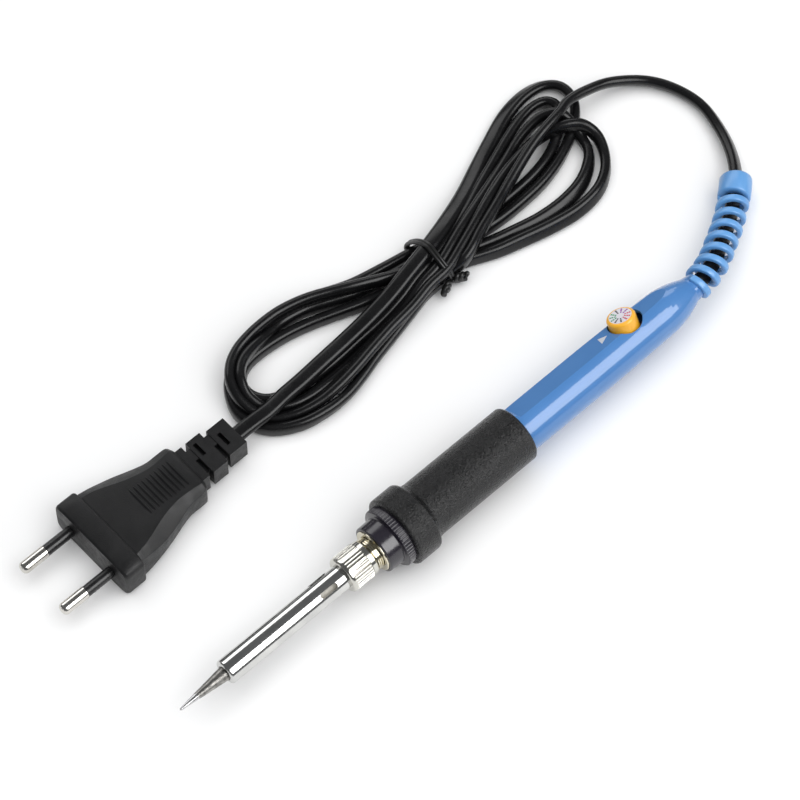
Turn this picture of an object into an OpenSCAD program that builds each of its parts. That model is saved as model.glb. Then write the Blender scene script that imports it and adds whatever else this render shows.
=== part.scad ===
// Adjustable-temperature soldering iron with its flat mains lead tied in a hank.
// The iron's axis lies along X, from the tip's point at -X to the cord at +X.
// Z = 0 is the bench. Stations (s) are millimetres from the tip's point.

/* [Iron] */
// Length from the tip's point to the end of the handle's neck
iron_len = 207; // [206:0.5:209]
// Radius of the grip's front flange, which rests on the bench
flange_r = 11.5; // [11.2:0.1:12]
// Radius of the rubber grip's body
grip_r = 9.25; // [9:0.05:9.6]
// Radius of the handle just behind the grip
handle_r = 7.5; // [7.3:0.05:7.7]
// Radius of the handle where it is fattest
belly_r = 7.6; // [7.5:0.05:7.9]
// Radius of the hollow inside the handle
hollow_r = 5.6; // [5.5:0.05:5.7]

/* [Hot end] */
// Outer radius of the steel sleeve round the heater
sleeve_r = 4; // [3.9:0.05:4.1]
// Radius of the cone where it leaves the sleeve
tip_cone_r = 2.25; // [2:0.05:2.4]
// Radius of the tip's blunt point
point_r = 0.45; // [0.3:0.05:0.6]
// Outer radius of the tip's hollow shank
shank_r = 3.25; // [3.1:0.05:3.3]
// Radius of the ceramic heater rod
heater_r = 1.95; // [1.8:0.05:2]
// Outer radius of the knurled nut
nut_r = 5.9; // [5.7:0.1:6.2]
// Number of flutes round the nut
flutes = 36; // [24:2:40]
// Radius over the crests of the neck's thread
thread_r = 4.7; // [4.6:0.05:4.75]
// Distance the nut moves in one turn
thread_pitch = 1; // [0.8:0.1:1]

/* [Temperature dial] */
// Station of the dial's axis
dial_s = 178.5; // [176:0.5:180]
// Angle of the dial's axis from vertical, towards +Y
dial_roll = 30; // [20:1:35]
// Radius of the dial knob
dial_r = 4.6; // [4.3:0.1:4.7]
// Height of the dial's face above the iron's axis
dial_top = 9.4; // [9:0.1:9.8]
// Height of the handle's flat panel above the iron's axis
flat_h = 6.6; // [6.5:0.05:6.8]

/* [Cord] */
// Width of the flat twin cord
cord_w = 5.2; // [4.8:0.1:5.2]
// Thickness of the flat twin cord
cord_t = 3.2; // [2.8:0.1:3.3]
// Outer radius of the spiral strain relief
relief_r = 5.15; // [5:0.05:5.2]
// Turns of the spiral strain relief
relief_turns = 7; // [6:1:8]

/* [Plug] */
// Distance between the two pins
pin_gap = 18; // [17.6:0.1:19]
// Radius of a plug pin
pin_r = 2; // [1.95:0.05:2]
// Length of a plug pin outside the plug's face
pin_len = 19; // [18:0.5:19]
// Width of the plug's front flange
plug_w = 32.4; // [32:0.2:35.4]
// Thickness of the plug's front flange
plug_t = 13.7; // [13.2:0.1:14]

/* [Hidden] */
// Running clearance between turning or sliding parts
fit = 0.08;
// Stations along the iron
sleeve_s = 16.8;
nut_s = 62;
neck_s = 64.7;
flange_s = 73.9;
collar_s = 74.4;
grip_s = 82.7;
grip_end = 131.8;
taper_s = 190;
neck_end = iron_len;
nut_end = 71.6;
// Ringed shoulder between the nut and the neck's flange: its first station and the rings' spacing
shoulder_s = 71.95;
ring_pitch = 0.65;
// Sleeve: wall, thickness of its front lip, radius where it passes into the nut, and vent slots
sleeve_wall = 0.5;
lip = 0.8;
sleeve_neck_r = sleeve_r - 0.2;
slot_s = 55.2;
slot_half = 2.3;
slot_roll = 33;
nut_lip = 1.4;
// Circuit board in the dial's frame: lowest face and thickness
board_z = -1.8;
board_t = 1.2;
board_top = board_z + board_t;
board_half = 5;
board_s = 104;
board_end = 186;
pot_r = 4.6;
pot_top = 3.4;
shaft_r = 1.5;
// Plug: its face, the height of its middle plane, and its strain relief's blocks
plug_x = -88;
plug_y = 57.5;
plug_z = plug_t / 2;
rim = 7.3;
relief_block = 6.4;
relief_end = 5.4;
relief_t = 7.8;
plug_end = 56;
// Radius of the pins inside the plug and under their insulating sleeves
pin_core = 1.5;
// Hank of cord: height, and the tie's place
hank_h = 10.4;
tie_x = 52;
tie_y = 64;
tie_wire = 0.9;
eps = 0.02;

// Route of the cord from inside the handle to the hank
LEAD = [
    [86, 0, 11.5], [95, 0, 11.5], [103.5, 0, 11.5], [112, 2, 11], [120, 6, 9.6], [128, 10.5, 7.8],
    [136, 16, 6.2], [143, 22, 5.4], [149, 30, 3.6], [153, 39, 2.6], [155, 49, 2.5],
    [153, 59, 2.5], [148, 67, 3], [139, 73, 4.8], [130, 75, 7], [122, 75.3, 8.6]
];
// Route of the cord from the hank to the plug
TAIL = [[-19, 57, 7.6], [-24, 57.3, 7.3], [-28, 57.5, 7], [-32, 57.5, 6.85], [-36, 57.5, 6.85]];
// First and last route points inside the spiral strain relief
relief_a = 2.12;
relief_b = 6.8;

// ---- Placing ----

// Puts a shape drawn round +Z on the iron's axis, with Z as the station
module on_axis() translate([-iron_len / 2, 0, flange_r]) rotate([0, 90, 0]) children();

// Puts a shape drawn with X as the station and Z outward through the dial
module in_dial_frame(roll = dial_roll)
    translate([-iron_len / 2, 0, flange_r]) rotate([-roll, 0, 0]) children();

// Puts a shape drawn with X from the plug's face towards the cord
module at_plug() translate([plug_x, plug_y, plug_z]) children();

// Turned solid from [radius, station] points
module turned(points) on_axis() rotate_extrude($fn = 96) polygon(points);

// Tube between two stations
module ring(s0, s1, r_out, r_in) on_axis() translate([0, 0, s0]) difference() {
    cylinder(r = r_out, h = s1 - s0, $fn = 72);
    translate([0, 0, -eps]) cylinder(r = r_in, h = s1 - s0 + 2 * eps, $fn = 72);
}

// Rod lying along the iron in the dial's frame
module lying_rod(s, y, z, len, r)
    in_dial_frame() translate([s, y, z]) rotate([0, 90, 0]) cylinder(r = r, h = len, $fn = 32);

// Round corner of radius r about [cr, cs], from angle a0 to a1, as [radius, station] points
function arc(cr, cs, r, a0, a1, n = 6) =
    [for (i = [0:n]) let (a = a0 + (a1 - a0) * i / n) [cr + r * cos(a), cs + r * sin(a)]];

// ---- Curves through the cord's route ----

function pick(p, i) = p[max(0, min(len(p) - 1, i))];
function bend(p, i, t) = let (a = pick(p, i - 1), b = pick(p, i), c = pick(p, i + 1), d = pick(p, i + 2))
    0.5 * (2 * b + (c - a) * t + (2 * a - 5 * b + 4 * c - d) * t * t
        + (3 * b - a - 3 * c + d) * t * t * t);
// Point on the curve at a position counted in route points
function along(p, u) = let (i = min(len(p) - 2, floor(u))) bend(p, i, u - i);
function unit(v) = v / norm(v);
function heading(p, u) = unit(along(p, min(len(p) - 1, u + 0.05)) - along(p, max(0, u - 0.05)));
function sideways(t) = unit(cross([0, 0, 1], t));
// Point on an oval round the curve: w across, t through
function oval_point(p, u, w, t, a) = let (h = heading(p, u), s = sideways(h), n = cross(h, s))
    along(p, u) + s * w * cos(a) + n * t * sin(a);

// Flat cord swept along a route with a ring at every 1 / steps of a route point
module swept_cord(p, steps, sides = 10) {
    rings = (len(p) - 1) * steps;
    points = [for (i = [0:rings]) for (k = [0:sides - 1])
        oval_point(p, i / steps, cord_w / 2, cord_t / 2, 360 * k / sides)];
    skin = [for (i = [0:rings - 1]) for (k = [0:sides - 1])
        let (a = i * sides + k, b = i * sides + (k + 1) % sides) [a, a + sides, b + sides, b]];
    first = [for (k = [0:sides - 1]) k];
    last = [for (k = [sides - 1:-1:0]) rings * sides + k];
    polyhedron(points = points, faces = concat([first], skin, [last]));
}

// ---- Hot end ----

module tip() color("lightgray") difference() {
    turned(concat(
        arc(0, point_r, point_r, -90, -8),
        [[tip_cone_r, sleeve_s - 0.2], [tip_cone_r, sleeve_s + lip + 0.2]],
        [[shank_r, sleeve_s + lip + 0.2], [shank_r, 42], [0, 42]]
    ));
    on_axis() translate([0, 0, 20]) cylinder(r = heater_r + 0.15, h = 23, $fn = 48);
}

module barrel_sleeve() color("silver") difference() {
    turned(concat(
        [[tip_cone_r + 0.2, sleeve_s]], arc(sleeve_r - 0.9, sleeve_s + 0.9, 0.9, -90, 0),
        [[sleeve_r, nut_s - 0.6], [sleeve_neck_r, nut_s - 0.4], [sleeve_neck_r, nut_s + 1.5]],
        [[thread_r, nut_s + 1.5], [thread_r, neck_s - 0.1]],
        [[sleeve_r - sleeve_wall, neck_s - 0.1], [sleeve_r - sleeve_wall, sleeve_s + lip]],
        [[tip_cone_r + 0.2, sleeve_s + lip]]
    ));
    for (a = [0:90:270]) in_dial_frame(a - slot_roll) sleeve_slot();
}

// Round-ended vent slot through the sleeve's wall
module sleeve_slot() {
    for (x = [-1, 1]) translate([slot_s + x * slot_half, 0, 2]) cylinder(r = 0.9, h = 4, $fn = 24);
    translate([slot_s - slot_half, -0.9, 2]) cube([2 * slot_half, 1.8, 4]);
}

module barrel_nut() color("gainsboro") difference() {
    turned(concat(
        [[sleeve_neck_r + fit, nut_s]], arc(nut_r - 1, nut_s + 1, 1, -90, 0),
        [[nut_r, nut_end - 1.8], [nut_r - 0.15, nut_end - 1.7], [nut_r - 0.15, nut_end - 0.3]],
        [[nut_r - 0.4, nut_end], [thread_r + fit, nut_end], [thread_r + fit, nut_s + nut_lip]],
        [[sleeve_neck_r + fit, nut_s + nut_lip]]
    ));
    for (i = [0:flutes - 1]) on_axis() rotate([0, 0, i * 360 / flutes])
        translate([nut_r, 0, nut_s + 1.3]) cylinder(r = 0.3, h = 6.5, $fn = 16);
}

module heater_core() color("ivory") on_axis() translate([0, 0, 20.8]) cylinder(r = heater_r, h = 55, $fn = 48);

module heater_flange() color("white") ring(neck_s + 0.5, neck_s + 4, 3.6, heater_r);

module heater_leads() color("silver")
    for (y = [-1.1, 1.1]) lying_rod(75.8, y, board_top + 0.35, 32, 0.35);

module lead_sleeving() color("white") for (y = [-1.1, 1.1]) difference() {
    lying_rod(79, y, board_top + 0.35, 24, 0.8);
    lying_rod(78, y, board_top + 0.35, 26, 0.35);
}

// Nickel-plated neck: thread for the nut, a ringed shoulder, a flange, and a tube that holds the heater
module threaded_neck() color("lightgray") {
    crests = 7;
    thread = [for (i = [0:crests - 1]) each [
        [thread_r - 0.35, neck_s + i * thread_pitch], [thread_r, neck_s + (i + 0.3) * thread_pitch],
        [thread_r, neck_s + (i + 0.6) * thread_pitch], [thread_r - 0.35, neck_s + (i + 0.9) * thread_pitch]
    ]];
    shoulder = [for (i = [0:2]) let (s = shoulder_s + i * ring_pitch) each [
        [thread_r + 0.3, s], [thread_r + 0.65, s + 0.15],
        [thread_r + 0.65, s + 0.4], [thread_r + 0.3, s + 0.55]
    ]];
    difference() {
        turned(concat(
            [[3.7, neck_s]], thread, [[thread_r - 0.35, shoulder_s]], shoulder,
            [[thread_r + 0.3, flange_s]],
            arc(6.5, flange_s + 0.4, 0.4, -90, 0), [[6.9, flange_s + 1.3], [4.9, flange_s + 1.3]],
            [[4.9, 92], [2.6, 92], [2.6, neck_s + 4.2], [3.7, neck_s + 4.2]]
        ));
        for (a = [10, 190]) in_dial_frame(-a) translate([flange_s - 0.5, -1, 3.9]) cube([0.9, 2, 4]);
    }
}

// ---- Grip and handle ----

module front_collar() color("#26232a") difference() {
    turned(concat(
        [[7, collar_s]], arc(7.3, collar_s + 0.5, 0.5, -90, 0),
        [[7.95, 79.4], [8.4, 79.6], [9.5, 79.8], [9.85, 80.2], [9.85, grip_s], [hollow_r - 0.05, grip_s]],
        [[hollow_r - 0.05, 94], [4.9, 94], [4.9, flange_s + 1.3], [7, flange_s + 1.3]]
    ));
    for (i = [0:59]) on_axis() rotate([0, 0, 6 * i])
        translate([9.95, 0, 79.5]) cylinder(r = 0.42, h = 3.1, $fn = 16);
}

module rubber_grip() color("#1e1e1e") turned(concat(
    [[handle_r, grip_s], [9.9, grip_s]], arc(flange_r - 0.8, grip_s + 0.8, 0.8, -90, 0),
    arc(flange_r - 1.2, 90.3, 1.2, 0, 80), [[grip_r + 0.3, 92.6], [grip_r, 94]],
    [[grip_r, grip_end - 1.2]], arc(grip_r - 1, grip_end - 1, 1, 0, 90), [[handle_r, grip_end]]
));

// Radius of the handle at station s
function handle_at(s) =
    s < 157 ? handle_r + (belly_r - handle_r) * (s - grip_s) / (157 - grip_s)
    : s < taper_s ? belly_r - 0.45 * pow((s - 157) / (taper_s - 157), 2)
    : 3.8 + (belly_r - 4.25) * (1 - pow((s - taper_s) / 14.5, 2));

module handle_shell() color("#3f86d8") difference() {
    turned(concat(
        [[hollow_r, grip_s + 0.5], [handle_r, grip_s + 0.5], [handle_r, grip_end]],
        [for (s = [136:4:188]) [handle_at(s), s]], [for (s = [190:1.5:204.5]) [handle_at(s), s]],
        [[3.8, neck_end], [2.85, neck_end], [2.85, 195], [hollow_r, taper_s], [hollow_r, grip_s + 0.5]]
    ));
    handle_flat();
    in_dial_frame() translate([dial_s, 0, 2]) dial_window();
}

// What is cut away above the handle's flat panel, with a short ramp at the grip
module handle_flat() in_dial_frame() rotate([90, 0, 0]) translate([0, 0, -10])
    linear_extrude(20) polygon([
        [grip_end + 0.4, handle_r + 0.1], [grip_end + 1.4, flat_h], [206, flat_h], [206, 12], [grip_end + 0.4, 12]
    ]);

// Round-ended opening that the dial stands in, longer on the cord's side
module dial_window() {
    for (x = [0, 1.3]) translate([x, 0, 0]) cylinder(r = dial_r + 0.5, h = 8, $fn = 64);
    translate([0, -dial_r - 0.5, 0]) cube([1.3, 2 * dial_r + 1, 8]);
}

// ---- Temperature control ----

module circuit_board() color("#2f6b3a") in_dial_frame()
    translate([board_s, -board_half, board_z]) cube([board_end - board_s, 2 * board_half, board_t]);

module potentiometer() color("#e8e4d8") in_dial_frame() translate([dial_s, 0, board_top]) difference() {
    cylinder(r = pot_r, h = pot_top - board_top, $fn = 64);
    translate([0, 0, 0.5]) cylinder(r = shaft_r + fit, h = 5, $fn = 48);
}

module dial_shaft() color("white") in_dial_frame()
    translate([dial_s, 0, board_top + 0.8]) cylinder(r = shaft_r, h = 5.2, $fn = 48);

module dial_knob() color("#f5b62e") in_dial_frame() translate([dial_s, 0, 0]) difference() {
    rotate_extrude($fn = 72) polygon(concat(
        [[0, pot_top + 0.4], [dial_r, pot_top + 0.4]], arc(dial_r - 0.9, dial_top - 0.9, 0.9, 0, 90),
        [[0, dial_top]]
    ));
    cylinder(r = shaft_r, h = board_top + 6, $fn = 48);
    translate([0, 0, dial_top - 0.3]) cylinder(r = dial_r - 1, h = 1, $fn = 64);
}

module dial_plate() color("#e6e6ee") in_dial_frame()
    translate([dial_s, 0, dial_top - 0.3]) cylinder(r = dial_r - 1, h = 0.35, $fn = 64);

module triac() color("#202020") in_dial_frame() {
    translate([118, -2.6, board_top]) cube([8, 5.2, 2.4]);
    for (y = [-1.7, 0, 1.7]) translate([126, y - 0.3, board_top]) cube([4, 0.6, 0.5]);
}

module film_capacitor() color("#8c2a22") in_dial_frame()
    translate([136, -2.7, board_top]) cube([11, 5.4, 4]);

module resistors() color("#c9a26b") for (p = [[151, -3.2], [151, 3.2], [160, 3.2]])
    lying_rod(p[0], p[1], board_top + 1, 6.4, 1);

module trigger_diode() color("#3568b0") lying_rod(151, 0, board_top + 0.9, 4, 0.9);

module rectifier_diode() color("#181818") lying_rod(160, -3.2, board_top + 1.2, 5.2, 1.2);

module mains_wires() color("#7a4a26") for (y = [-1.2, 1.2])
    lying_rod(183.6, y, board_top + 0.9, 5.9, 0.9);

module cord_anchor() color("white") ring(190.8, 192.6, 3.5, 2.75);

// ---- Cord and strain relief ----

// Places a short disc on the spiral's centreline at turn position q from 0 to 1
module spiral_disc(q) {
    u = relief_a + 0.35 + (relief_b - relief_a - 1.1) * q;
    r = relief_r - 1.2;
    here = oval_point(LEAD, u, r, r, 360 * relief_turns * q);
    next_q = q + 0.002;
    next_u = relief_a + 0.35 + (relief_b - relief_a - 1.1) * next_q;
    step = oval_point(LEAD, next_u, r, r, 360 * relief_turns * next_q) - here;
    aim(here, unit(step)) cylinder(r = 1.2, h = eps, center = true, $fn = 6);
}

// Turns a shape's +Z to a direction and moves it to a point
module aim(at, dir) translate(at)
    rotate([0, acos(dir.z), atan2(dir.y, dir.x)]) children();

module relief_cuff(u0, u1) {
    from = along(LEAD, u0);
    to = along(LEAD, u1);
    aim(from, unit(to - from)) difference() {
        cylinder(r = relief_r, h = norm(to - from), $fn = 24);
        translate([0, 0, -1]) cylinder(r = 2.8, h = norm(to - from) + 2, $fn = 24);
    }
}

module strain_relief() color("#6fb0ee") {
    steps = relief_turns * 12;
    for (i = [0:steps - 1]) hull() {
        spiral_disc(i / steps);
        spiral_disc((i + 1) / steps);
    }
    relief_cuff(relief_a, relief_a + 0.35);
    relief_cuff(relief_b - 0.8, relief_b);
}

module cord_lead() color("#1b1b1b") swept_cord(LEAD, 3);

module cord_tail() color("#1b1b1b") swept_cord(TAIL, 2);

// Outline of one lobe of the hank, from the tie out to its rounded end
module lobe(ends, waist_x) linear_extrude(hank_h) hull() {
    for (e = ends) translate([e[0], e[1]]) circle(r = e[2], $fn = 48);
    translate([waist_x, tie_y + 0.5]) circle(r = 7, $fn = 32);
}

module cord_hank() color("#232323") {
    lobe([[118, 81, 13], [107, 61, 17]], tie_x + 10);
    lobe([[-7, 64, 19]], tie_x - 10);
    translate([tie_x - 12, tie_y - 7, 2 * tie_wire + 0.2]) cube([24, 15, hank_h - 2.4 * tie_wire]);
}

// Bare wire tie: a closed loop round the waist and two twisted ends
module twist_tie() color("#151515") {
    wide = 17;
    high = hank_h + 1.8 * tie_wire;
    translate([tie_x - tie_wire, tie_y + 0.5, 0]) rotate([90, 0, 90]) linear_extrude(2 * tie_wire)
        difference() {
            translate([-wide / 2, 0]) square([wide, high]);
            translate([-wide / 2 + 0.95, 2 * tie_wire]) square([wide - 1.9, high - 3.6 * tie_wire]);
        }
    for (y = [-1, 1]) translate([tie_x - 1 + 3 * y, tie_y - 12, 3.5])
        rotate([-90, 0, 12 * y]) cylinder(r = 1.3, h = 4.6, $fn = 24);
}

// ---- Plug ----

// Half width of the plug's body at distance u from its face
function plug_half(u) = u < 30 ? 10 + (plug_w / 2 - 11.8) * (1 - pow((u - rim) / (30 - rim), 2)) : 10;

module plug_outline() polygon(concat(
    [for (u = [rim:2.6:36]) [u, plug_half(u)]], [[36.6, 9.6], [38, 7.4], [38, -7.4], [36.6, -9.6]],
    [for (i = [0:11]) let (u = rim + 28.6 - 2.6 * i) [u, -plug_half(u)]]
));

module plug_side() polygon([
    [0, -plug_t / 2], [rim, -plug_t / 2], [22, -5.6], [32, -5.2], [38, -4.6],
    [38, 4.6], [32, 5.2], [22, 5.6], [rim, plug_t / 2], [0, plug_t / 2]
]);

module plug_body() color("#232323") at_plug() difference() {
    union() {
        intersection() {
            translate([0, 0, -10]) linear_extrude(20) plug_outline();
            rotate([90, 0, 0]) translate([0, 0, -20]) linear_extrude(40) plug_side();
        }
        translate([0, -plug_w / 2 + 2, -plug_t / 2]) cube([rim, plug_w - 4, plug_t]);
        for (y = [-1, 1]) translate([0, y * (plug_w / 2 - 2), 0]) plug_corner();
    }
    for (y = [-1, 1]) translate([-1, y * pin_gap / 2, 0]) rotate([0, 90, 0])
        cylinder(r = pin_core, h = 11, $fn = 48);
    for (i = [0:8]) for (z = [-1, 1]) translate([20.5 + 1.6 * i, -5, z * 6.1 - 0.5]) cube([0.7, 10, 1]);
}

// Rounded side edge of the plug's flange
module plug_corner() for (z = [-1, 1]) {
    translate([0, 0, z * (plug_t / 2 - 2)]) rotate([0, 90, 0]) cylinder(r = 2, h = rim, $fn = 32);
    translate([0, -2, -plug_t / 2 + 2]) cube([rim, 4, plug_t - 4]);
}

module plug_relief() color("#262626") at_plug() difference() {
    union() {
        translate([38, -4.4, -3.6]) cube([plug_end - 38, 8.8, 7.2]);
        for (b = [[38, 2.5, relief_block], [42.2, 5.4, relief_block], [49.4, plug_end - 49.4, relief_end]])
            translate([b[0], -b[2], -relief_t / 2]) cube([b[1], 2 * b[2], relief_t]);
    }
    for (b = [[40.8, -2.2], [43.4, 2.2], [48, -2.2], [51, 0]]) for (z = [-4.3, 1.6])
        translate([b[0], b[1] - 2.4, z]) cube([1.3, 4.8, 2.7]);
    translate([52, 0, 0]) rotate([0, 90, 0]) cylinder(r = 2.7, h = 6, $fn = 48);
}

// Solid pins with round ends, thinner inside the plug and under their sleeves
module plug_pins() color("#d8d4c8") at_plug() for (y = [-1, 1]) translate([0, y * pin_gap / 2, 0])
    rotate([0, -90, 0]) rotate_extrude($fn = 48) polygon(concat(
        [[0, -10], [pin_core, -10], [pin_core, 10], [pin_r, 10]],
        arc(pin_r - 1.4, pin_len - 1.4, 1.4, 0, 90), [[0, pin_len]]
    ));

module pin_sleeves() color("#1d1d1d") at_plug() for (y = [-1, 1]) translate([0, y * pin_gap / 2, 0])
    rotate([0, -90, 0]) difference() {
        cylinder(r = pin_r - 0.2, h = 10, $fn = 48);
        translate([0, 0, -1]) cylinder(r = pin_core, h = 12, $fn = 48);
    }

// ---- Output ----

tip();
barrel_sleeve();
barrel_nut();
heater_core();
heater_flange();
heater_leads();
lead_sleeving();
threaded_neck();
front_collar();
rubber_grip();
handle_shell();
circuit_board();
potentiometer();
dial_shaft();
dial_knob();
dial_plate();
triac();
film_capacitor();
resistors();
trigger_diode();
rectifier_diode();
mains_wires();
cord_anchor();
strain_relief();
cord_lead();
cord_hank();
twist_tie();
cord_tail();
plug_body();
plug_relief();
plug_pins();
pin_sleeves();
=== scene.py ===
# Soldering iron with its flat mains lead tied in a hank: the look of each part, in metres.
import math

import bmesh
import bpy
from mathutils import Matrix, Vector


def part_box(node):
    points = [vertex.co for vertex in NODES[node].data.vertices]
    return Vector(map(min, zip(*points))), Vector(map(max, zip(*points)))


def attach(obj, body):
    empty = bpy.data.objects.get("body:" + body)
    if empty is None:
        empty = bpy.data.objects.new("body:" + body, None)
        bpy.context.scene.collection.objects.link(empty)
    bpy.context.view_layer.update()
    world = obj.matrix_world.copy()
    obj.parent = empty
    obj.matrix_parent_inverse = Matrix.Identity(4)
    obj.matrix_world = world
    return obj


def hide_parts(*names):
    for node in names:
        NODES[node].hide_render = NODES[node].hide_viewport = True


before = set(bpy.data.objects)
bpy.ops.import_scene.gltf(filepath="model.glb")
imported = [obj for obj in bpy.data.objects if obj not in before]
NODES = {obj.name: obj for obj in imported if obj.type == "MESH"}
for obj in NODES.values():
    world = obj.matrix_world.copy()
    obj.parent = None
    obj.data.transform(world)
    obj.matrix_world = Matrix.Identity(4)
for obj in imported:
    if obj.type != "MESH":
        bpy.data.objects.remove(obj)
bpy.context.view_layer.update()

MM = 0.001

# ---- Camera ----

AZIMUTH = math.radians(-42.74)
ELEVATION = math.radians(61)
DISTANCE = 1.1
TARGET = Vector((0.01478, 0.03614, 0))
SENSOR_WIDTH = 36
LENS = 164.86


def make_camera():
    """The scene's camera, at the photograph's viewing angle."""
    away = Vector((-math.sin(AZIMUTH), math.cos(AZIMUTH), 0))
    towards = Vector((0, 0, 1)) * math.sin(ELEVATION) - away * math.cos(ELEVATION)
    camera = bpy.data.objects.new("camera", bpy.data.cameras.new("camera"))
    camera.location = TARGET + towards * DISTANCE
    camera.rotation_euler = (-towards).to_track_quat("-Z", "Y").to_euler()
    camera.data.sensor_width = SENSOR_WIDTH
    camera.data.lens = LENS
    bpy.context.scene.collection.objects.link(camera)
    bpy.context.scene.camera = camera


make_camera()

# ---- Materials ----

# The shader's sockets by the short names that the materials use
SOCKETS = {
    "metal": "Metallic", "coat": "Coat Weight", "coat_rough": "Coat Roughness",
    "specular": "Specular IOR Level",
}


class Paint:
    """A node material: one Principled shader and the textures wired into it."""

    def __init__(self, name, **values):
        self.mat = bpy.data.materials.new(name)
        self.mat.use_nodes = True
        self.nodes = self.mat.node_tree.nodes
        self.wires = self.mat.node_tree.links
        self.shader = self.nodes["Principled BSDF"]
        for key, value in values.items():
            self.shader.inputs[SOCKETS[key]].default_value = value
        self.place = self.nodes.new("ShaderNodeTexCoord").outputs["Object"]

    def stretched(self, scale):
        """Object coordinates scaled apart along X, Y and Z."""
        node = self.nodes.new("ShaderNodeMapping")
        node.inputs["Scale"].default_value = scale
        self.wires.new(self.place, node.inputs["Vector"])
        return node.outputs[0]

    def noise(self, scale, detail=2.0, place=None):
        """Soft random pattern, scale in features per metre."""
        node = self.nodes.new("ShaderNodeTexNoise")
        node.inputs["Scale"].default_value = scale
        node.inputs["Detail"].default_value = detail
        self.wires.new(place or self.place, node.inputs["Vector"])
        return node.outputs[0]

    def axis(self, name):
        """One of the object coordinates, by its letter."""
        node = self.nodes.new("ShaderNodeSeparateXYZ")
        self.wires.new(self.place, node.inputs[0])
        return node.outputs[name]

    def spread(self, value, low, high, to_low=0.0, to_high=1.0):
        """Value from low to high, stretched to run from to_low to to_high."""
        node = self.nodes.new("ShaderNodeMapRange")
        for key, number in zip((1, 2, 3, 4), (low, high, to_low, to_high)):
            node.inputs[key].default_value = number
        self.wires.new(value, node.inputs[0])
        return node.outputs[0]

    def maths(self, kind, a, b):
        """A sum or product of two values, each a number or a socket."""
        node = self.nodes.new("ShaderNodeMath")
        node.operation = kind
        for socket, value in zip(node.inputs, (a, b)):
            if isinstance(value, (int, float)):
                socket.default_value = value
            else:
                self.wires.new(value, socket)
        return node.outputs[0]

    def ramp(self, value, stops):
        """Colours by value, as (position, (r, g, b)) stops."""
        node = self.nodes.new("ShaderNodeValToRGB")
        band = node.color_ramp.elements
        while len(band) < len(stops):
            band.new(0.5)
        for element, (position, colour) in zip(band, stops):
            element.position = position
            element.color = (*colour, 1)
        self.wires.new(value, node.inputs[0])
        return node.outputs[0]

    def mixed(self, mask, a, b):
        """Colour a where the mask is 0, and b where it is 1."""
        node = self.nodes.new("ShaderNodeMixRGB")
        for socket, value in zip(node.inputs, (mask, a, b)):
            if isinstance(value, tuple):
                socket.default_value = (*value, 1)
            else:
                self.wires.new(value, socket)
        return node.outputs[0]

    def colour(self, value):
        """Wire the surface's colour."""
        self.wires.new(value, self.shader.inputs["Base Color"])

    def roughness(self, value):
        """Wire the surface's roughness."""
        self.wires.new(value, self.shader.inputs["Roughness"])

    def bump(self, height, depth, strength=1.0):
        """Small relief in the surface, depth in metres."""
        node = self.nodes.new("ShaderNodeBump")
        node.inputs["Distance"].default_value = depth
        node.inputs["Strength"].default_value = strength
        self.wires.new(height, node.inputs["Height"])
        self.wires.new(node.outputs[0], self.shader.inputs["Normal"])


def plastic(name, dark, light, rough, grain=2500, depth=0.00002, coat=0.0, coat_rough=0.1,
            specular=0.5):
    """Moulded plastic: faintly mottled, unevenly glossy, with a fine grain."""
    paint = Paint(name, coat=coat, coat_rough=coat_rough, specular=specular)
    paint.colour(paint.ramp(paint.noise(90, 5), [(0.3, dark), (0.7, light)]))
    fine = paint.noise(grain, 3)
    paint.roughness(paint.spread(paint.noise(400, 4), 0.3, 0.7, *rough))
    paint.bump(fine, depth, 0.6)
    return paint.mat


def metal(name, dark, light, rough, stretch=(1, 1, 1), grain=600, depth=0.000006):
    """Plated metal: turning marks across the most stretched axis, stains and uneven polish."""
    paint = Paint(name, metal=1.0)
    paint.colour(paint.ramp(paint.noise(140, 6), [(0.3, dark), (0.72, light)]))
    marks = paint.noise(grain, 3, paint.stretched(stretch))
    paint.roughness(paint.spread(marks, 0.3, 0.7, *rough))
    paint.bump(marks, depth, 0.5)
    return paint.mat


def pebbled_rubber():
    """Grip rubber: near black, with a moulded grain that glints where the light strikes it, and a faint
    painted glint: its colour a little lighter on the grain's tops.
    """
    paint = Paint("rubber_pebbled_painted_glint", specular=0.42)
    grain = paint.noise(1900, 3)
    # Painted glint: the colour is a little lighter where the grain stands high; the bump is the moulded
    # grain.
    paint.colour(paint.ramp(grain, [(0.5, (0.0015, 0.0015, 0.0017)), (0.8, (0.008, 0.008, 0.0085))]))
    paint.roughness(paint.spread(paint.noise(1500, 2), 0.35, 0.7, 0.14, 0.3))
    paint.bump(grain, 0.00042, 1.0)
    return paint.mat


# How far the solder reaches back from the tip's point
TINNED = 0.0072


def tinned_tip():
    """Plated point: bright solder on its last millimetres, dull plating behind."""
    paint = Paint("tip_tinned", metal=1.0)
    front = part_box("tip")[0].x
    edge = paint.maths("ADD", paint.axis("X"), paint.maths("MULTIPLY", paint.noise(420, 3), 0.003))
    back = paint.spread(edge, front + TINNED, front + TINNED + 0.0012)
    plate = paint.ramp(paint.noise(900, 5), [(0.3, (0.17, 0.165, 0.155)), (0.7, (0.4, 0.39, 0.37))])
    solder = paint.ramp(paint.noise(500, 4), [(0.3, (0.5, 0.5, 0.51)), (0.7, (0.75, 0.75, 0.75))])
    paint.colour(paint.mixed(back, solder, plate))
    paint.roughness(paint.spread(back, 0, 1, 0.22, 0.38))
    paint.bump(paint.noise(900, 4), 0.00006, 0.5)
    return paint.mat


# The darker and lighter colour of black plastic
BLACK = (0.004, 0.004, 0.0044)
SOOT = (0.008, 0.008, 0.0085)
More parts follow.
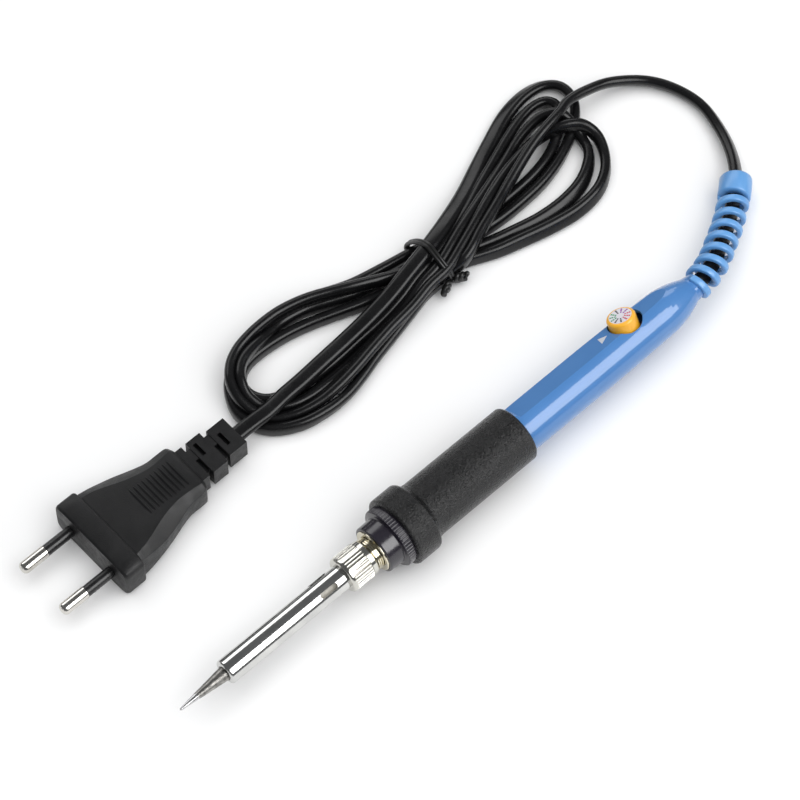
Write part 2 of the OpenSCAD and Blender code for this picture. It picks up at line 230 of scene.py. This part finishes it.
# The look of each CAD node, and of the cord
LOOKS = {
    "tip": tinned_tip(),
    "barrel_sleeve": metal("steel_sleeve", (0.56, 0.56, 0.55), (0.7, 0.7, 0.68), (0.08, 0.18), (12, 1, 1)),
    "barrel_nut": metal("nickel_nut", (0.55, 0.54, 0.5), (0.68, 0.67, 0.62), (0.1, 0.18), (10, 1, 1),
                        depth=0.000002),
    "heater_core": plastic("ceramic_rod", (0.7, 0.66, 0.58), (0.82, 0.79, 0.72), (0.45, 0.6)),
    "heater_flange": plastic("ceramic_white", (0.8, 0.79, 0.75), (0.9, 0.89, 0.86), (0.4, 0.55)),
    "heater_leads": metal("lead_wire", (0.6, 0.6, 0.6), (0.75, 0.74, 0.72), (0.25, 0.4)),
    "lead_sleeving": plastic("glass_sleeving", (0.75, 0.73, 0.66), (0.88, 0.87, 0.8), (0.7, 0.9),
                             3500, 0.0001),
    "threaded_neck": metal("nickel_neck", (0.6, 0.56, 0.44), (0.74, 0.7, 0.57), (0.08, 0.18), (10, 1, 1)),
    "front_collar": plastic("collar_phenolic", (0.012, 0.01, 0.016), (0.02, 0.017, 0.026), (0.16, 0.26),
                            1600, specular=0.7),
    "rubber_grip": pebbled_rubber(),
    "handle_shell": plastic("blue_glossy", (0.062, 0.2, 0.48), (0.07, 0.215, 0.505), (0.34, 0.4),
                            1800, 0.000003, coat=1.0, coat_rough=0.03, specular=0.2),
    "circuit_board": plastic("board_green", (0.02, 0.14, 0.05), (0.03, 0.2, 0.08), (0.3, 0.45)),
    "potentiometer": plastic("pot_body", (0.72, 0.7, 0.62), (0.82, 0.8, 0.74), (0.35, 0.5)),
    "dial_shaft": plastic("shaft_white", (0.78, 0.77, 0.74), (0.88, 0.87, 0.85), (0.35, 0.5)),
    "dial_knob": plastic("dial_yellow", (0.88, 0.42, 0.02), (0.94, 0.48, 0.03), (0.3, 0.42),
                         1500, 0.00001, coat=0.3),
    "dial_plate": plastic("dial_face", (0.66, 0.64, 0.7), (0.8, 0.78, 0.83), (0.35, 0.5)),
    "triac": plastic("chip_black", (0.01, 0.01, 0.01), (0.02, 0.02, 0.02), (0.4, 0.6)),
    "film_capacitor": plastic("capacitor_red", (0.28, 0.03, 0.02), (0.4, 0.05, 0.03), (0.25, 0.4)),
    "resistors": plastic("resistor_tan", (0.5, 0.33, 0.16), (0.62, 0.44, 0.24), (0.35, 0.5)),
    "trigger_diode": plastic("diode_blue", (0.03, 0.1, 0.35), (0.05, 0.15, 0.45), (0.2, 0.3)),
    "rectifier_diode": plastic("diode_black", (0.01, 0.01, 0.01), (0.02, 0.02, 0.02), (0.3, 0.5)),
    "mains_wires": plastic("wire_brown", (0.15, 0.06, 0.03), (0.22, 0.09, 0.04), (0.35, 0.5)),
    "cord_anchor": plastic("nylon_white", (0.78, 0.78, 0.76), (0.88, 0.88, 0.86), (0.4, 0.55)),
    "strain_relief": plastic("blue_light", (0.11, 0.31, 0.64), (0.13, 0.35, 0.7), (0.34, 0.46),
                             1500, 0.00001, coat=0.3),
    "cord": plastic("cord_black", BLACK, SOOT, (0.2, 0.3), 1500, 0.00001, specular=0.3),
    "twist_tie": plastic("tie_black", (0.004, 0.004, 0.004), (0.01, 0.01, 0.01), (0.3, 0.45),
                         1200, 0.00004),
    "plug_body": plastic("plug_black", BLACK, SOOT, (0.36, 0.52), 3200, 0.00012, specular=0.35),
    "plug_pins": metal("pin_nickel", (0.55, 0.53, 0.49), (0.7, 0.68, 0.64), (0.1, 0.22), (8, 1, 1)),
    "pin_sleeves": plastic("pin_sleeve_black", BLACK, SOOT, (0.22, 0.34)),
}
LOOKS["plug_relief"] = LOOKS["plug_body"]


def dress_cad_nodes():
    """Put each look on the CAD node of its name."""
    for name, look in LOOKS.items():
        if name in NODES:
            for place in NODES[name].material_slots:
                place.material = look


dress_cad_nodes()

# ---- Meshes ----


def piece(name, verts, faces, look, smooth=True):
    """A mesh object in the model's frame, in metres, with its normals facing out."""
    mesh = bpy.data.meshes.new(name)
    mesh.from_pydata(verts, [], faces)
    shape = bmesh.new()
    shape.from_mesh(mesh)
    bmesh.ops.recalc_face_normals(shape, faces=shape.faces)
    shape.to_mesh(mesh)
    shape.free()
    mesh.materials.append(look)
    for face in mesh.polygons:
        face.use_smooth = smooth
    made = bpy.data.objects.new(name, mesh)
    bpy.context.scene.collection.objects.link(made)
    return made


def tube(rings, first=0):
    """Vertices and faces of a tube through rings with as many points each, with flat ends."""
    verts = [tuple(point) for ring in rings for point in ring]
    sides = len(rings[0])
    faces = [[first + k for k in range(sides)]]
    for i in range(len(rings) - 1):
        a = first + i * sides
        faces += [[a + k, a + sides + k, a + sides + (k + 1) % sides, a + (k + 1) % sides]
                  for k in range(sides)]
    last = first + (len(rings) - 1) * sides
    faces.append([last + k for k in range(sides - 1, -1, -1)])
    return verts, faces


def joined(tubes):
    """One set of vertices and faces from several lists of rings."""
    verts, faces = [], []
    for rings in tubes:
        more, sides = tube(rings, len(verts))
        verts += more
        faces += sides
    return verts, faces


def curve_at(points, u):
    """Catmull-Rom curve at a position counted in points; each point may have any number of values."""
    i = min(len(points) - 2, int(u))
    t = u - i
    a, b, c, d = (points[max(0, min(len(points) - 1, k))] for k in (i - 1, i, i + 1, i + 2))
    return [0.5 * (2 * q + (r - p) * t + (2 * p - 5 * q + 4 * r - s) * t * t
                   + (3 * q - p - 3 * r + s) * t ** 3) for p, q, r, s in zip(a, b, c, d)]


def heading_at(points, u):
    """Direction of a curve at a position on it."""
    step = 0.05
    ahead = Vector(curve_at(points, min(len(points) - 1, u + step))[:3])
    return (ahead - Vector(curve_at(points, max(0, u - step))[:3])).normalized()


def frame_at(points, u):
    """Place, heading, sideways and upward directions at a position on a curve."""
    heading = heading_at(points, u)
    side = Vector((0, 0, 1)).cross(heading).normalized()
    return Vector(curve_at(points, u)[:3]), heading, side, heading.cross(side)


# ---- Cord ----

# Width and thickness in millimetres
CORD_W = 5.2
CORD_T = 3.2

# Points along the cord in millimetres: x, y, z, and the roll of its width from flat, in degrees.
# From inside the handle through the strain relief to the hank
LEAD = [
    (86, 0, 11.5, 45), (95, 0, 11.5, 45), (103.5, 0, 11.5, 45), (112, 2, 11, 42), (120, 6, 9.6, 40),
    (128, 10.5, 7.8, 42), (136, 16, 6.2, 48), (143, 22, 5.4, 56), (149, 30, 3.6, 60), (153, 39, 2.6, 62),
    (155, 49, 2.5, 64), (153, 59, 2.5, 66), (148, 67, 3, 66), (139, 73, 4.8, 64), (130, 75, 7, 66),
    (122, 75.3, 8.6, 70),
]
# Over the hank and down to its tie
OVER = [
    (116.2, 73.6, 9.6, 72), (110, 72.4, 9.8, 75), (104, 71.2, 9.4, 78), (98, 69.5, 8.8, 82),
    (92, 67.5, 8.2, 85), (85.5, 65.2, 7.8, 88), (79, 62.8, 7.8, 90), (70, 59.6, 7.8, 90),
    (61, 56.2, 7, 90),
]
# Centre line of the lower lobe, from the tie round its end and back under the tie
LOBE = [
    (52, 63.6), (44, 62.2), (36, 60.8), (27, 60.2), (18, 60.4), (10, 60.4), (2, 59.9), (-5, 59), (-11, 59.6),
    (-15.6, 62), (-18, 65.8), (-18, 69.8), (-15.8, 73.2), (-12, 75.2), (-7, 75.8), (-1, 75.5), (5, 74.6),
    (12, 72.8), (19, 70.4), (28, 67.2), (40, 63.6), (52, 60.4),
]
# For each turn of the lower lobe, at each point of that line: how far outside it, height and roll
TURNS = {
    "B": (
        [0, 0, 0.2, 0.4, 1, 1.6, 1.4, 0.6] + [0] * 14,
        [6.8, 6.6, 5, 3, 2.4, 2.3, 2.4] + [2.6] * 15,
        [8, 12, 20, 30, 38, 45, 60, 80] + [90] * 14,
    ),
    "C": (
        [4, 3.6, 3.6, 4, 5, 5.8, 5.4, 4.4, 3.6, 3.2, 2, 0.6, 0.1, 0.2, 1, 2.4, 4.2, 5, 4.6, 4.2, 5.2, 6.4],
        [7.4, 6.6, 4.8, 3, 2.3, 2.3, 2.3, 2.5, 2.6, 3, 5.4, 7.6, 7.8, 7.6, 6.4, 4.4, 3, 2.6] + [2.6] * 4,
        [80, 70, 60, 50, 42, 40, 42, 55, 75] + [90] * 13,
    ),
    "D": (
        [7, 6.2, 6, 6.2, 7.8, 9.2, 9.4, 8.2, 7.2, 6.5, 5, 3.8, 3.2, 3.3, 3.9, 4.7, 5.3, 5.4, 5, 4, 3.2, 3.2],
        [7.4, 7.4, 6.8, 6.4, 6.3, 6.2, 5.2, 3.6, 2.8, 3, 5.6, 7.6] + [7.8] * 6 + [7.6, 7.4, 5.2, 3],
        [85, 75, 60, 50, 42, 40, 45, 60, 80] + [90] * 13,
    ),
    "E": (
        [6.6, 5.4, 5.9, 7.5, 9.8, 11.9, 12.8, 11.8, 10.8, 9.7, 7.4, 4.6,
         3.4, 3.6, 4.8, 6.4, 7.8, 8, 7.8, 7.6, 8.6, 9.6],
        [3] + [2.6] * 21,
        [90, 85, 80, 78, 78, 78, 78, 82] + [90] * 14,
    ),
}
# The four turns of the upper lobe, each from the tie round its end and back above the first layer
B_UP = [
    (52, 70, 2.6, 90), (61, 68.2, 2.6, 90), (70, 66.3, 2.6, 90), (79, 64.9, 2.6, 90), (88, 64.7, 2.6, 90),
    (98, 65.4, 2.6, 90), (107, 67.6, 2.6, 90), (113.5, 71, 2.6, 90), (118.6, 75, 2.6, 90), (121, 79, 2.6, 88),
    (119.6, 82.5, 2.6, 80), (115.2, 83.9, 2.6, 70), (109, 83.3, 2.6, 62), (101, 81, 2.6, 60),
    (91, 77.2, 2.8, 62), (81, 73.3, 3.8, 58), (71, 69.1, 5.6, 40), (61, 65.9, 6.8, 18),
]
D_UP = [
    (52, 60.4, 2.6, 90), (62, 57, 2.6, 85), (71, 53.3, 2.6, 75), (80, 50.8, 2.5, 65), (90, 48.3, 2.5, 60),
    (100, 46.9, 2.5, 62), (109, 47.9, 2.6, 72), (115.7, 51.5, 2.6, 82), (120, 56.6, 3.2, 88),
    (121.6, 62, 5, 90), (119.6, 67, 7.2, 88), (114, 70.6, 7.6, 86), (107.8, 73.3, 4.6, 85),
    (100, 73.2, 3.4, 86), (90, 70.4, 5.4, 88), (81, 66.9, 7.3, 90), (71, 62.9, 7.8, 90),
    (61, 59.2, 7.6, 90),
]
C_UP = [
    (52, 63.6, 2.6, 90), (62, 60.2, 2.6, 88), (71, 56.8, 2.5, 70), (80, 54.3, 2.4, 50), (89, 52.4, 2.3, 42),
    (98, 51.9, 2.3, 42), (106, 53, 2.4, 50), (112, 55.7, 2.6, 65), (116.6, 59.8, 2.6, 80),
    (118.6, 65, 2.6, 86), (118.8, 70.1, 5.2, 86), (117, 74.5, 7.6, 84), (112.2, 77.8, 6, 84),
    (104, 77.8, 3.4, 84), (95, 75, 2.8, 85), (85.5, 71.6, 4, 85), (76, 68, 6.2, 85),
    (66, 64.4, 7.6, 84),
]
A_UP = [
    (52, 66.8, 2.6, 90), (62, 64.2, 2.6, 90), (71, 61.8, 2.6, 90), (80, 60.8, 2.6, 90), (90, 60.9, 2.6, 90),
    (99, 61.8, 2.6, 90), (108, 64.2, 2.6, 90), (116, 67.8, 2.6, 90), (122.6, 72.2, 2.6, 88),
    (126.8, 77.6, 2.6, 80), (127.2, 83.6, 2.5, 68), (123.2, 87.8, 2.3, 52), (116, 89.1, 2.1, 38),
    (107, 87.6, 1.9, 24), (97.4, 83.8, 1.9, 14), (87, 79.2, 2.4, 10), (76, 73.8, 5, 8),
    (64, 68.8, 8.4, 5),
]
# From the tie over the lower lobe
OVER_TAIL = [
    (52, 65, 10, 0), (43, 63, 9.8, 0), (34, 61.4, 8.6, 0), (24, 60.4, 7.2, 0), (14, 59.6, 6.8, 0),
    (4, 58.9, 6.8, 0), (-5, 58.2, 6.9, 0), (-12, 57.8, 7.2, 0),
]
# From the hank into the plug
TAIL = [
    (-19, 57, 7.6, 0), (-24, 57.3, 7.3, 0), (-28, 57.5, 7, 0), (-32, 57.5, 6.85, 0), (-36, 57.5, 6.85, 0),
]


def lobe_turn(name):
    """One turn of the lower lobe, set outside its centre line."""
    turn = []
    for i, (out, height, roll) in enumerate(zip(*TURNS[name])):
        before, after = LOBE[max(0, i - 1)], LOBE[min(len(LOBE) - 1, i + 1)]
        run = Vector((after[0] - before[0], after[1] - before[1])).normalized()
        turn.append((LOBE[i][0] - run.y * out, LOBE[i][1] + run.x * out, height, roll))
    return turn


def cord_route():
    """All of the cord's points in order, turn after turn of the hank."""
    route = LEAD + OVER + lobe_turn("E") + B_UP[1:] + lobe_turn("B") + D_UP[1:]
    route += lobe_turn("D") + C_UP[1:] + lobe_turn("C") + A_UP[1:]
    return route + OVER_TAIL + TAIL


def cord_section():
    """Outline of the flat twin cord: two round edges joined by flat faces, as (across, through)."""
    radius = CORD_T / 2
    flat = (CORD_W - CORD_T) / 2
    steps = 8
    points = []
    for side in (1, -1):
        for k in range(steps + 1):
            angle = math.radians(-90 + 180 / steps * k)
            points.append((side * (flat + radius * math.cos(angle)), side * radius * math.sin(angle)))
    return points


def make_cord():
    """The flat cord from inside the handle, round the hank and into the plug."""
    route = cord_route()
    section = cord_section()
    steps = 8
    rings = []
    path = []
    for i in range((len(route) - 1) * steps + 1):
        u = i / steps
        place, heading, side, up = frame_at(route, u)
        roll = math.radians(curve_at(route, u)[3])
        across = side * math.cos(roll) + up * math.sin(roll)
        through = heading.cross(across)
        rings.append([(place + across * a + through * b) * MM for a, b in section])
        path.append(place * MM)
    verts, faces = tube(rings)
    return piece("flat_cord", verts, faces, LOOKS["cord"]), path


def rounded(half_a, half_b, power=4, sides=20):
    """Rounded rectangle as (a, b) points."""
    points = []
    for k in range(sides):
        c, s = math.cos(2 * math.pi * k / sides), math.sin(2 * math.pi * k / sides)
        points.append((half_a * math.copysign(abs(c) ** (2 / power), c),
                       half_b * math.copysign(abs(s) ** (2 / power), s)))
    return points


# Strain relief: where its spiral and its end cuff start and end, counted in points along LEAD
SPIRAL_START = 1.8
SPIRAL_END = 6.05
CUFF_START = 6
CUFF_END = 6.8
# Turns of the spiral, and how far round the cord its first turn starts
SPIRAL_TURNS = 7.8
SPIRAL_PHASE = 0.2
# The spiral's middle radius, and half the width and thickness of its band
SPIRAL_R = 4.25
BAND_W = 1.15
BAND_T = 0.85
# The cuff's outer and inner radius
CUFF_R = 5.15
CUFF_BORE = 2.75


def relief_spiral():
    """Rings of the flat moulded band that winds round the cord."""
    rings = []
    steps_a_turn = 36
    steps = int(SPIRAL_TURNS * steps_a_turn)
    for i in range(steps + 1):
        q = i / steps
        place, heading, side, up = frame_at(LEAD, SPIRAL_START + (SPIRAL_END - SPIRAL_START) * q)
        angle = 2 * math.pi * (SPIRAL_TURNS * q + SPIRAL_PHASE)
        out = side * math.cos(angle) + up * math.sin(angle)
        rings.append([(place + out * (SPIRAL_R + b) + heading * a) * MM for a, b in rounded(BAND_W, BAND_T)])
    return rings


def relief_cuff():
    """Rings of a tube round the cord with rounded rims, open in the middle for the cord."""
    # Each point as its place along the cuff, from 0 to 1, and its radius
    shape = [(0, CUFF_BORE), (0, CUFF_R - 0.7), (0.02, CUFF_R - 0.2), (0.08, CUFF_R), (0.5, CUFF_R),
             (0.92, CUFF_R), (0.98, CUFF_R - 0.2), (1, CUFF_R - 0.7), (1, CUFF_BORE), (0.5, CUFF_BORE)]
    rings = []
    sides = 40
    for k in range(sides):
        angle = 2 * math.pi * k / sides
        ring = []
        for t, radius in shape:
            place, heading, side, up = frame_at(LEAD, CUFF_START + (CUFF_END - CUFF_START) * t)
            ring.append((place + (side * math.cos(angle) + up * math.sin(angle)) * radius) * MM)
        rings.append(ring)
    return rings


def closed_loop(rings, first):
    """Faces of a tube whose last ring joins its first."""
    sides, count = len(rings[0]), len(rings)
    return [[first + i * sides + k, first + ((i + 1) % count) * sides + k,
             first + ((i + 1) % count) * sides + (k + 1) % sides, first + i * sides + (k + 1) % sides]
            for i in range(count) for k in range(sides)]


def make_strain_relief():
    """Light blue spiral that ends in a cuff round the cord."""
    verts, faces = joined([relief_spiral()])
    rings = relief_cuff()
    faces += closed_loop(rings, len(verts))
    verts += [tuple(point) for ring in rings for point in ring]
    made = piece("spiral_relief", verts, faces, LOOKS["strain_relief"])
    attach(made, "handle")
    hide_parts("strain_relief")
    return made


def wire(points, radius):
    """Rings of a round wire through points."""
    steps = 6
    sides = 12
    rings = []
    for i in range((len(points) - 1) * steps + 1):
        u = i / steps
        place, heading = Vector(curve_at(points, u)), heading_at(points, u)
        side = heading.orthogonal().normalized()
        if rings:
            side = (last_side - heading * last_side.dot(heading)).normalized()
        last_side = side
        up = heading.cross(side)
        rings.append([(place + (side * math.cos(a) + up * math.sin(a)) * radius) * MM
                      for a in (2 * math.pi * k / sides for k in range(sides))])
    return rings


# Centre line of the tie's first wire, once round the hank's waist
TIE_BAND = [
    (53.5, 56, 5), (54, 55, 2.6), (53, 57.5, 0.9), (52, 62, 0.8), (52, 69, 0.8), (51.6, 72.6, 1),
    (51.4, 73.1, 3.2), (51.7, 72.2, 5.8), (52, 69, 9.8), (52.2, 65, 12.3), (52, 61, 11.6),
    (52, 57.8, 10.2), (52.4, 55.6, 8.2), (53.2, 55, 5),
]
# Radius of the wire round the waist and in the ends, and the distance between its turns' middles
TIE_R = 0.62
TIE_END_R = 0.8
TIE_PITCH = 1
# For each twisted end: where it starts along X, how far it runs along X at each step, and how far
# its two strands stand from its middle
TIE_ENDS = ((54.6, 0.5, 1.3), (51.6, -0.45, 1.1))
# Both ends: their points, where they start along Y, how far they run back along Y at each step,
# their height, and how far their strands turn at each step, in radians
TIE_END_POINTS = 7
TIE_END_Y = 54.6
TIE_END_RUN = 0.3
TIE_END_Z = 3.4
TIE_END_TWIST = 1.3


def tie_end(start, run, spread, turn):
    """One of the two strands of a twisted end, on one side of it or the other."""
    points = []
    for k in range(TIE_END_POINTS):
        angle = math.pi * turn + k * TIE_END_TWIST
        points.append((start + run * k + spread * math.cos(angle), TIE_END_Y - TIE_END_RUN * k,
                       TIE_END_Z + spread * math.sin(angle)))
    return points


def make_twist_tie():
    """A black wire twice round the hank's waist, and its two twisted ends."""
    beside = [(x + TIE_PITCH, y, z) for x, y, z in TIE_BAND]
    loops = [wire(TIE_BAND, TIE_R), wire(beside, TIE_R)]
    loops += [wire(tie_end(*end, turn), TIE_END_R) for end in TIE_ENDS for turn in (0, 1)]
    verts, faces = joined(loops)
    made = piece("wire_tie", verts, faces, LOOKS["twist_tie"])
    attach(made, "handle")
    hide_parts("twist_tie")
    return made


# Middle of the plug's face, in millimetres
PLUG_FACE = (-88, 57.5, 6.85)
# Sections of the plug's body: distance from its face, half width, half thickness, half width of
# its flat top, half height of its sides
PLUG_SHAPE = [
    (7.2, 14.6, 6.3, 12.4, 5.0), (11, 14.4, 6.25, 11.8, 4.2), (15, 13.9, 6.1, 10.5, 3.3),
    (19, 13.1, 5.9, 9.0, 2.8), (23, 11.9, 5.7, 7.8, 2.6), (27, 10.6, 5.5, 7.0, 2.7),
    (30, 9.8, 5.35, 6.8, 3.0), (34, 9.6, 5.2, 7.0, 3.4), (36.8, 9.2, 5.0, 7.2, 3.8),
    (38, 7.6, 4.4, 6.0, 3.4),
]
# Half width and half thickness of the flange at the face
FLANGE_W = 16.2
FLANGE_T = 6.85
# Flange's distances from the face, and its share of the full width at each, squared for its thickness
FLANGE_RIM = ((0, 0.965), (0.3, 0.985), (0.9, 1), (6.6, 1), (7.1, 0.988), (7.3, 0.97))
# Thumb patch: number of bars, distance of the first from the face, their spacing, half length,
# rise, and how deep they stand in the body
PLUG_RIBS = 10
RIB_FIRST = 19.4
RIB_PITCH = 1.6
RIB_REACH = 5.4
RIB_RISE = 0.85
RIB_SUNK = 0.3
# A bar's half width, its round back as shares of its half width and rise, and its least size
RIB_HALF = 0.5
RIB_BACK = ((-1, 0), (-0.8, 0.6), (0, 0.9), (0.8, 0.6), (1, 0))
RIB_LEAST = 0.15


def at_plug(u, across, up):
    """A point in the plug's own millimetres, from its face towards the cord, in the model's frame."""
    return Vector((PLUG_FACE[0] + u, PLUG_FACE[1] + across, PLUG_FACE[2] + up)) * MM


def plug_section(u, half, thick, top, side):
    """One eight-sided section of the plug's body."""
    corners = [(half, side), (top, thick), (-top, thick), (-half, side),
               (-half, -side), (-top, -thick), (top, -thick), (half, -side)]
    return [at_plug(u, across, up) for across, up in corners]


def plug_rib(u, height, face):
    """A low round-backed bar across the plug's upper or lower face."""
    rings = []
    steps = 8
    for k in range(-steps, steps + 1):
        angle = math.radians(k * 90 / steps)
        reach = RIB_REACH * math.sin(angle)
        size = max(RIB_LEAST, math.cos(angle) ** 0.5)
        rings.append([at_plug(u + RIB_HALF * size * a, reach,
                              face * (height - RIB_SUNK + RIB_RISE * size * b)) for a, b in RIB_BACK])
    return rings


def make_plug_body():
    """Moulded plug: broad flange, waisted body with sloping sides, and a ribbed thumb patch."""
    steps = 3
    body = [plug_section(*curve_at(PLUG_SHAPE, i / steps))
            for i in range((len(PLUG_SHAPE) - 1) * steps + 1)]
    flange = [[at_plug(u, across, up)
               for across, up in rounded(FLANGE_W * grow, FLANGE_T * grow ** 2, power=7, sides=48)]
              for u, grow in FLANGE_RIM]
    parts = [body, flange]
    for k in range(PLUG_RIBS):
        u = RIB_FIRST + RIB_PITCH * k
        # The sections about the patch start with the fourth, 19 from the face, about 4 apart
        height = curve_at(PLUG_SHAPE, 3 + (u - 19) / 4)[2]
        parts += [plug_rib(u, height, 1), plug_rib(u, height, -1)]
    verts, faces = joined(parts)
    made = piece("plug_moulding", verts, faces, LOOKS["plug_body"], smooth=False)
    soften(made, 0.0005, 25)
    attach(made, "handle")
    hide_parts("plug_body")
    return made


def soften(made, width, angle):
    """Small round edges, for the highlights that a moulded edge shows."""
    bevel = made.modifiers.new("soft_edges", "BEVEL")
    bevel.width = width
    bevel.segments = 3
    bevel.limit_method = "ANGLE"
    bevel.angle_limit = math.radians(angle)
    bevel.harden_normals = False
    for face in made.data.polygons:
        face.use_smooth = True


cord, cord_path = make_cord()
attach(cord, "handle")
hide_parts("cord_lead", "cord_hank", "cord_tail")
strain_relief = make_strain_relief()
twist_tie = make_twist_tie()
plug_body = make_plug_body()

# ---- Edges of the CAD parts ----

soften(NODES["plug_relief"], 0.0008, 40)

# ---- Dial and panel marks ----

# Station of the iron's middle, and height of its axis, in millimetres
MIDDLE_S = 103.5
AXIS_Z = 11.5
# The dial's station, the angle it leans over, and the heights of its face and of its marks
DIAL_S = 178.5
DIAL_ROLL = math.radians(30)
DIAL_FACE = 9.4
DIAL_INK = 9.5
# The three marks of each stroke: from one radius to another, and half width
DIAL_MARKS = ((1.3, 1.9, 0.2), (2.1, 2.7, 0.24), (2.85, 3.3, 0.27))
# Pointer on the handle's panel: corners as station and distance across, and its two heights
POINTER = [(168.6, -1.4), (171.9, 0.15), (169.2, 1.5)]
POINTER_LOW = 6.5
POINTER_HIGH = 6.66


def on_panel(station, across, height):
    """A point in the dial's frame, in millimetres, with the station counted from the tip's point."""
    return Vector((station - MIDDLE_S, across * math.cos(DIAL_ROLL) + height * math.sin(DIAL_ROLL),
                   AXIS_Z - across * math.sin(DIAL_ROLL) + height * math.cos(DIAL_ROLL))) * MM


def mark(outline, low, high):
    """A thin printed mark: an outline in the dial's frame, from one height to another."""
    return [[on_panel(x, y, z) for x, y in outline] for z in (low, high)]


def dial_strokes(angles):
    """The strokes of one colour, each three marks long, at their angles on the dial."""
    strokes = []
    for angle in angles:
        c, s = math.cos(math.radians(angle)), math.sin(math.radians(angle))
        for inner, outer, half in DIAL_MARKS:
            corners = ((inner, -half), (outer, -half), (outer, half), (inner, half))
            outline = [(DIAL_S + c * a - s * b, s * a + c * b) for a, b in corners]
            strokes.append(mark(outline, DIAL_FACE, DIAL_INK))
    return strokes


def make_marks():
    """Coloured scale strokes on the dial's face, and the pointer on the panel."""
    # Darker and lighter colour of each ink, and where its strokes are, in degrees
    inks = {
        "green": ((0.02, 0.25, 0.1), (0.03, 0.33, 0.14), (110, 140, 170)),
        "black": ((0.01, 0.01, 0.012), (0.03, 0.03, 0.035), (-160, -125, 75)),
        "red": ((0.5, 0.02, 0.06), (0.6, 0.04, 0.1), (-90, -60, -30)),
        "purple": ((0.22, 0.03, 0.3), (0.3, 0.05, 0.38), (5, 40)),
    }
    for name, (dark, light, angles) in inks.items():
        verts, faces = joined(dial_strokes(angles))
        ink = plastic("ink_" + name, dark, light, (0.4, 0.6))
        made = piece("dial_strokes_" + name, verts, faces, ink, smooth=False)
        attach(made, "dial")
    verts, faces = joined([mark(POINTER, POINTER_LOW, POINTER_HIGH)])
    ink = plastic("ink_white", (0.5, 0.52, 0.58), (0.62, 0.65, 0.7), (0.3, 0.5))
    made = piece("panel_pointer", verts, faces, ink, smooth=False)
    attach(made, "handle")


make_marks()

# ---- Floor and light ----

# Half the floor's width
FLOOR_HALF = 3.0
# What the lamps point at
LAMP_AIM = Vector((0.02, 0.03, 0))
WORLD_COLOUR = (0.95, 0.97, 1, 1)
WORLD_STRENGTH = 0.15


def make_floor():
    """Plain pale floor, faintly uneven."""
    paint = Paint("floor_pale")
    paint.colour(paint.ramp(paint.noise(3, 2), [(0.3, (0.9, 0.9, 0.9)), (0.7, (0.93, 0.93, 0.93))]))
    paint.roughness(paint.spread(paint.noise(40, 3), 0.3, 0.7, 0.75, 0.9))
    size = FLOOR_HALF
    floor = piece("floor", [(-size, -size, 0), (size, -size, 0), (size, size, 0), (-size, size, 0)],
                  [[0, 1, 2, 3]], paint.mat, smooth=False)


def softbox(name, place, width, height, power):
    """A rectangular lamp aimed at the object."""
    lamp = bpy.data.lights.new(name, "AREA")
    lamp.shape = "RECTANGLE"
    lamp.size, lamp.size_y = width, height
    lamp.energy = power
    made = bpy.data.objects.new(name, lamp)
    made.location = place
    made.rotation_euler = (LAMP_AIM - Vector(place)).to_track_quat("-Z", "Y").to_euler()
    bpy.context.scene.collection.objects.link(made)
    return made


def make_light():
    """Crisp softboxes for the reflections, and broad soft light for the surfaces themselves."""
    key = softbox("key_softbox", (0.35, -0.7, 0.74), 0.9, 0.78, 12)
    far = softbox("far_softbox", (0.3, 0.86, 0.6), 1.5, 0.5, 5)
    for lamp in (key, far):
        lamp.visible_diffuse = False
    side = softbox("side_fill", (0.35, -0.72, 0.64), 1.5, 1.15, 6)
    fill = softbox("overhead_fill", (0, 0, 2.2), 3.5, 3.5, 70)
    for lamp in (side, fill):
        lamp.visible_glossy = False
    world = bpy.data.worlds.new("studio")
    world.use_nodes = True
    background = world.node_tree.nodes["Background"]
    background.inputs["Color"].default_value = WORLD_COLOUR
    background.inputs["Strength"].default_value = WORLD_STRENGTH
    bpy.context.scene.world = world
    bpy.context.scene.view_settings.view_transform = "Standard"


make_floor()
make_light()
